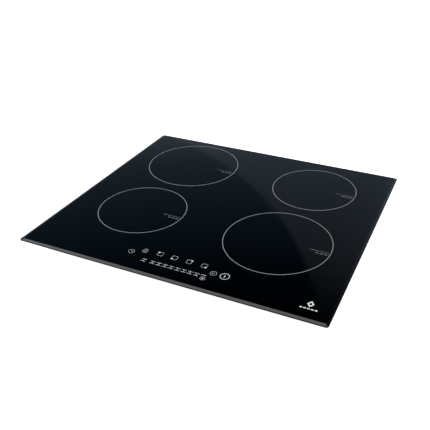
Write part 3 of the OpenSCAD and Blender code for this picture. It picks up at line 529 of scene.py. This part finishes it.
def select_only(piece):
    """Makes the piece the one selected and active object."""
    bpy.ops.object.select_all(action="DESELECT")
    piece.select_set(True)
    bpy.context.view_layer.objects.active = piece


def choose(piece, kind, test):
    """In edit mode, selects only the vertices, edges or faces that pass the test."""
    bpy.ops.mesh.select_mode(type=kind)
    bpy.ops.mesh.select_all(action="DESELECT")
    mesh = bmesh.from_edit_mesh(piece.data)
    for item in {"VERT": mesh.verts, "EDGE": mesh.edges, "FACE": mesh.faces}[kind]:
        if test(item):
            item.select_set(True)
    bmesh.update_edit_mesh(piece.data)


def at_height(item, height, tolerance=0.01 * MM):
    """Whether an edge or face lies level at a height."""
    return all(abs(v.co.z - height) < tolerance for v in item.verts)


def apply_modifier(piece, kind, **settings):
    """Adds a modifier with its settings, and applies it at once."""
    select_only(piece)
    modifier = piece.modifiers.new(kind.lower(), kind)
    for name, value in settings.items():
        setattr(modifier, name, value)
    bpy.ops.object.modifier_apply(modifier=modifier.name)


def hand_over(piece, name, node):
    """Names the piece, gives it the finish of the node that it stands for, and lets it ride."""
    piece.name = piece.data.name = name
    piece.data.materials.clear()
    piece.data.materials.append(FINISHES[slot_of[node]])
    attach(piece, frame["nodes"][node]["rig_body"])
    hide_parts(node)
    return piece


def islands(node):
    """The boxes of the separate solids of a node, each as its lowest and highest corner."""
    mesh = bmesh.new()
    mesh.from_mesh(frame["nodes"][node].data)
    bmesh.ops.remove_doubles(mesh, verts=mesh.verts, dist=WELD)
    left, found = set(mesh.verts), []
    while left:
        reached, edge = set(), [left.pop()]
        while edge:
            vertex = edge.pop()
            reached.add(vertex)
            for link in vertex.link_edges:
                other = link.other_vert(vertex)
                if other in left:
                    left.discard(other)
                    edge.append(other)
        places = [v.co for v in reached]
        found.append((Vector(map(min, zip(*places))), Vector(map(max, zip(*places)))))
    mesh.free()
    return sorted(found, key=lambda box: [round(place, 4) for place in box[0]])


def placed_copies(model, matrices):
    """One object made of a copy of the model at each place, with the model removed."""
    copies = []
    for matrix in matrices:
        copy = bpy.data.objects.new("copy", model.data.copy())
        copy.data.transform(matrix)
        bpy.context.scene.collection.objects.link(copy)
        copies.append(copy)
    bpy.data.objects.remove(model)
    bpy.ops.object.select_all(action="DESELECT")
    for copy in copies:
        copy.select_set(True)
    bpy.context.view_layer.objects.active = copies[0]
    if len(copies) > 1:
        bpy.ops.object.join()
    return bpy.context.object


# %% [markdown]
# The glass plate is sawn, its four corners are rounded, and its upper rim is ground to a wide
# flat bevel. Each ground edge is then broken with a hair-fine arris, which no glass plate is
# without. A block is made at the plate's size below the bevel, its corners are bevelled round,
# and the top face is extruded up and drawn in, which makes the ground bevel in one step. Only
# the corners' small steps are shaded smooth, because a mirror shows any bend of its normals.

# %% Glass plate
CORNER, GROUND_WIDTH, GROUND_HEIGHT, ARRIS = 5 * MM, 5.2 * MM, 1.5 * MM, 0.3 * MM
CORNER_STEPS, STEP_SMOOTHING = 24, math.radians(4.5)
size = glass_high - glass_low
bpy.ops.object.select_all(action="DESELECT")
bpy.ops.mesh.primitive_cube_add(size=1)
plate = bpy.context.object
bpy.ops.object.mode_set(mode="EDIT")
side_height = size.z - GROUND_HEIGHT
bpy.ops.transform.resize(value=(size.x, size.y, side_height), center_override=(0, 0, 0))
bpy.ops.transform.translate(value=(0, 0, glass_low.z + side_height / 2))
choose(plate, "EDGE", lambda e: abs(e.verts[0].co.z - e.verts[1].co.z) > side_height / 2)
bpy.ops.mesh.bevel(offset=CORNER, segments=CORNER_STEPS, affect="EDGES")
choose(plate, "FACE", lambda f: f.normal.z > 0.9)
bpy.ops.mesh.extrude_region_move(TRANSFORM_OT_translate={"value": (0, 0, GROUND_HEIGHT)})
bpy.ops.transform.resize(value=(1 - 2 * GROUND_WIDTH / size.x, 1 - 2 * GROUND_WIDTH / size.y, 1),
                         center_override=(0, 0, 0))
levels = (glass_low.z, glass_low.z + side_height, glass_high.z)
choose(plate, "EDGE", lambda e: any(at_height(e, z) for z in levels))
bpy.ops.mesh.bevel(offset=ARRIS, segments=1, affect="EDGES")
bpy.ops.object.mode_set(mode="OBJECT")
bpy.ops.object.shade_smooth_by_angle(angle=STEP_SMOOTHING)
hand_over(plate, "glass_plate", "glass_top")

# %% [markdown]
# Springs are wound wire. A small circle stands beside the axis, and a Screw modifier turns it
# round the axis while it climbs, once for each turn. The open ends are then filled. The four
# coil units rest on three springs each, which flatten as the unit is pressed down, and a
# small spring under every printed key carries its touch to the board.


# %% Springs
def wound_spring(radius, wire, height, turns, steps):
    """A spring standing on z = 0 round the Z axis. Its radius is to the middle of its wire."""
    bpy.ops.object.select_all(action="DESELECT")
    bpy.ops.mesh.primitive_circle_add(vertices=8, radius=wire, rotation=(math.pi / 2, 0, 0))
    spring = bpy.context.object
    bpy.ops.object.transform_apply(location=False, rotation=True, scale=False)
    spring.data.transform(Matrix.Translation((radius, 0, wire)))
    apply_modifier(spring, "SCREW", axis="Z", angle=2 * math.pi, iterations=turns, steps=steps,
                   render_steps=steps, screw_offset=(height - 2 * wire) / turns,
                   use_merge_vertices=False, use_smooth_shade=True)
    bpy.ops.object.mode_set(mode="EDIT")
    bpy.ops.mesh.select_all(action="SELECT")
    bpy.ops.mesh.remove_doubles(threshold=WELD)
    bpy.ops.mesh.fill_holes(sides=0)
    bpy.ops.mesh.normals_make_consistent(inside=False)
    bpy.ops.object.mode_set(mode="OBJECT")
    return spring


def springs_for(node, name, wire, turns, steps):
    """Wound springs in place of a node's plain ones. Returns them and the box of the first."""
    boxes = islands(node)
    low, high = boxes[0]
    spring = wound_spring((high.x - low.x) / 2 - wire, wire, high.z - low.z, turns, steps)
    places = [Matrix.Translation(((a.x + b.x) / 2, (a.y + b.y) / 2, a.z)) for a, b in boxes]
    return hand_over(placed_copies(spring, places), name, node), low, high


ZONES = ("rear_left", "rear_right", "front_left", "front_right")
UNIT_WIRE, TOUCH_WIRE = 0.55 * MM, 0.3 * MM
for zone in ZONES:
    springs, low, high = springs_for("springs_" + zone, "unit_springs_" + zone, UNIT_WIRE,
                                     turns=5, steps=16)
    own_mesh(springs)
springs_for("touch_springs", "key_springs", TOUCH_WIRE, turns=6, steps=12)

# %% [markdown]
# The coils are wound from litz, a rope of thin enamelled copper strands, laid in one flat
# spiral. The strands show as ridges that run round the rope, so the rope is a curve along the
# spiral with a lobed section, and the curve's tilt turns the section as it goes.

# %% Litz spirals
STRANDS, LAY, STEP = 6, 40 * MM, 4 * MM
ROPE_WIDTH, ROPE_GAP, HUB = 4 * MM, 0.6 * MM, 20.5 * MM
SECTION_POINTS, LOBE_DEPTH, RIDGE_SMOOTHING = 18, 0.07, math.radians(60)
for zone in ZONES:
    node = "coil_" + zone
    low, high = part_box(node)
    middle, outer = (low + high) / 2, (high.x - low.x) / 2
    pitch = ROPE_WIDTH + ROPE_GAP
    turns = (outer - ROPE_WIDTH - HUB) / pitch
    bpy.ops.object.select_all(action="DESELECT")
    bpy.ops.curve.primitive_bezier_circle_add(radius=1)
    section = bpy.context.object
    section.data.splines.clear()
    ring = section.data.splines.new("POLY")
    ring.points.add(SECTION_POINTS - 1)
    ring.use_cyclic_u = True
    for i, point in enumerate(ring.points):
        angle = 2 * math.pi * i / SECTION_POINTS
        lobe = ROPE_WIDTH / 2 * (1 - LOBE_DEPTH + LOBE_DEPTH * math.cos(STRANDS * angle))
        point.co = (lobe * math.cos(angle), lobe * math.sin(angle), 0, 1)
    line = bpy.data.curves.new("litz", "CURVE")
    line.dimensions = "3D"
    line.bevel_mode = "OBJECT"
    line.bevel_object = section
    line.use_fill_caps = True
    spline = line.splines.new("POLY")
    points, angle, run = [], 0.0, 0.0
    while angle <= turns * 2 * math.pi:
        radius = HUB + ROPE_WIDTH / 2 + pitch * angle / (2 * math.pi)
        points.append((radius * math.cos(angle), radius * math.sin(angle), run / LAY * 2 * math.pi))
        angle += STEP / radius
        run += STEP
    spline.points.add(len(points) - 1)
    for point, (x, y, tilt) in zip(spline.points, points):
        point.co = (middle.x + x, middle.y + y, 0, 1)
        point.tilt = tilt
    rope = bpy.data.objects.new("litz", line)
    bpy.context.scene.collection.objects.link(rope)
    select_only(rope)
    bpy.ops.object.convert(target="MESH")
    bpy.data.objects.remove(section)
    rope = bpy.context.object
    flatten = Matrix.Diagonal((1, 1, (high.z - low.z) / ROPE_WIDTH, 1))
    rope.data.transform(Matrix.Translation((0, 0, middle.z)) @ flatten)
    bpy.ops.object.mode_set(mode="EDIT")
    bpy.ops.mesh.select_all(action="SELECT")
    bpy.ops.mesh.remove_doubles(threshold=WELD)
    bpy.ops.mesh.normals_make_consistent(inside=False)
    bpy.ops.object.mode_set(mode="OBJECT")
    bpy.ops.object.shade_smooth_by_angle(angle=RIDGE_SMOOTHING)
    hand_over(rope, "litz_" + zone, node)

# %% [markdown]
# Screws have pan heads with a cross recess. The shank is a cylinder whose top face is grown
# into the head in steps, and two crossed bars are cut out of it, one after the other, with a
# Boolean.


# %% Screws
def pan_head_screw(head_radius, head_height, shank_radius, shank_length):
    """A screw along Z, with the underside of its head on z = 0."""
    bpy.ops.object.select_all(action="DESELECT")
    bpy.ops.mesh.primitive_cylinder_add(vertices=24, radius=shank_radius, depth=shank_length,
                                        location=(0, 0, -shank_length / 2))
    screw = bpy.context.object
    bpy.ops.object.transform_apply(location=True, rotation=False, scale=False)
    bpy.ops.object.mode_set(mode="EDIT")
    choose(screw, "FACE", lambda f: f.normal.z > 0.9)
    bpy.ops.mesh.extrude_region_move()
    # The head widens at once. Each later step climbs by a share of its height and draws in.
    for climb, grow in ((0, head_radius / shank_radius), (0.55, 1), (0.27, 0.92), (0.18, 0.72)):
        if climb:
            bpy.ops.mesh.extrude_region_move(
                TRANSFORM_OT_translate={"value": (0, 0, climb * head_height)})
        bpy.ops.transform.resize(value=(grow, grow, 1), center_override=(0, 0, 0))
    choose(screw, "FACE",
           lambda f: f.normal.z < -0.9 and f.calc_center_median().z < -shank_length / 2)
    bpy.ops.mesh.inset(thickness=shank_radius * 0.3, depth=shank_radius * 0.3)
    bpy.ops.object.mode_set(mode="OBJECT")
    wing, blade = head_radius * 0.55, head_radius * 0.17
    cutters = []
    for reach_x, reach_y in ((wing, blade), (blade, wing)):
        bpy.ops.object.select_all(action="DESELECT")
        bpy.ops.mesh.primitive_cube_add(size=2, location=(0, 0, head_height))
        cutter = bpy.context.object
        cutter.scale = (reach_x, reach_y, head_height * 0.7)
        bpy.ops.object.transform_apply(location=True, rotation=False, scale=True)
        cutters.append(cutter)
        apply_modifier(screw, "BOOLEAN", object=cutter, operation="DIFFERENCE", solver="EXACT")
    for cutter in cutters:
        bpy.data.objects.remove(cutter)
    select_only(screw)
    bpy.ops.object.shade_smooth_by_angle(angle=SHARP)
    return screw


def outward(low, high):
    """The place of a screw in a side wall: where its head starts, and its turn."""
    middle = (low + high) / 2
    if high.x - low.x > high.y - low.y:
        side = math.copysign(1, middle.x)
        start = (side * case_high.x, middle.y, middle.z)
        turn = Matrix.Rotation(side * math.pi / 2, 4, "Y")
    else:
        side = math.copysign(1, middle.y)
        start = (middle.x, side * case_high.y, middle.z)
        turn = Matrix.Rotation(-side * math.pi / 2, 4, "X")
    return Matrix.Translation(start) @ turn


screw = pan_head_screw(head_radius=2.8 * MM, head_height=1.8 * MM, shank_radius=1.55 * MM,
                       shank_length=6 * MM)
hand_over(placed_copies(screw, [outward(*box) for box in islands("case_screws")]),
          "wall_screws", "case_screws")
tray_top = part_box("coil_tray")[1].z
screw = pan_head_screw(head_radius=3 * MM, head_height=2 * MM, shank_radius=1.4 * MM,
                       shank_length=10 * MM)
places = [Matrix.Translation(((a.x + b.x) / 2, (a.y + b.y) / 2, tray_top))
          for a, b in islands("tray_screws")]
hand_over(placed_copies(screw, places), "cross_screws_tray", "tray_screws")

# %% [markdown]
# Pressed, moulded and extruded parts have no knife-sharp edges. For these the frame's shape is
# right and only its edges are too sharp, so a copy is merged, its flat faces are joined, and
# a Bevel modifier rounds every edge sharper than 35 degrees by what its making leaves. The
# case first gets the wider round of a press tool where its walls meet its bottom, at an angle
# well over one radian and in a band along each edge.

# %% Parts with softened edges
SHEET_EDGE, MOULD_EDGE, FINE_EDGE = 0.25 * MM, 0.3 * MM, 0.15 * MM
SOFT_EDGES = {
    "case_pan": SHEET_EDGE, "glass_frame": SHEET_EDGE, "terminal_box": MOULD_EDGE,
    "terminal_lid": MOULD_EDGE, "control_box": MOULD_EDGE, "electronics_tray_left": MOULD_EDGE,
    "electronics_tray_right": MOULD_EDGE, "fan_rotor_left": FINE_EDGE, "fan_rotor_right": FINE_EDGE,
    "heat_sink_left": FINE_EDGE, "heat_sink_right": FINE_EDGE, "power_transistors": FINE_EDGE,
    "capacitors": MOULD_EDGE, "filter_parts": MOULD_EDGE, "terminal_block": MOULD_EDGE,
    "cable_grommet": MOULD_EDGE, "clamp_screws": FINE_EDGE,
    **{"clamp_" + zone: SHEET_EDGE for zone in ZONES},
    **{"ferrites_" + zone: MOULD_EDGE for zone in ZONES},
    **{"carrier_" + zone: MOULD_EDGE for zone in ZONES},
    **{"sensor_" + zone: FINE_EDGE for zone in ZONES},
}
BEND, FOLD, FLAT = 0.9 * MM, 1.2, math.radians(0.5)
SIDE_BAND, END_BAND = 7 * MM, 50 * MM
for node, edge_radius in SOFT_EDGES.items():
    piece = bpy.data.objects.new(node, frame["nodes"][node].data.copy())
    bpy.context.scene.collection.objects.link(piece)
    select_only(piece)
    bpy.ops.object.mode_set(mode="EDIT")
    bpy.ops.mesh.select_all(action="SELECT")
    bpy.ops.mesh.remove_doubles(threshold=2 * WELD)
    bpy.ops.mesh.dissolve_limited(angle_limit=FLAT)
    if node == "case_pan":
        choose(piece, "EDGE", lambda e: at_height(e, case_low.z) and e.calc_face_angle(0) > FOLD
               and all(case_high.x - abs(v.co.x) < SIDE_BAND or case_high.y - abs(v.co.y) < END_BAND
                       for v in e.verts))
        bpy.ops.mesh.bevel(offset=BEND, segments=3, affect="EDGES", clamp_overlap=True)
    bpy.ops.object.mode_set(mode="OBJECT")
    apply_modifier(piece, "BEVEL", width=edge_radius, segments=2, limit_method="ANGLE",
                   angle_limit=SHARP, use_clamp_overlap=True)
    bpy.ops.object.shade_smooth_by_angle(angle=SHARP)
    hand_over(piece, node + "_soft", node)
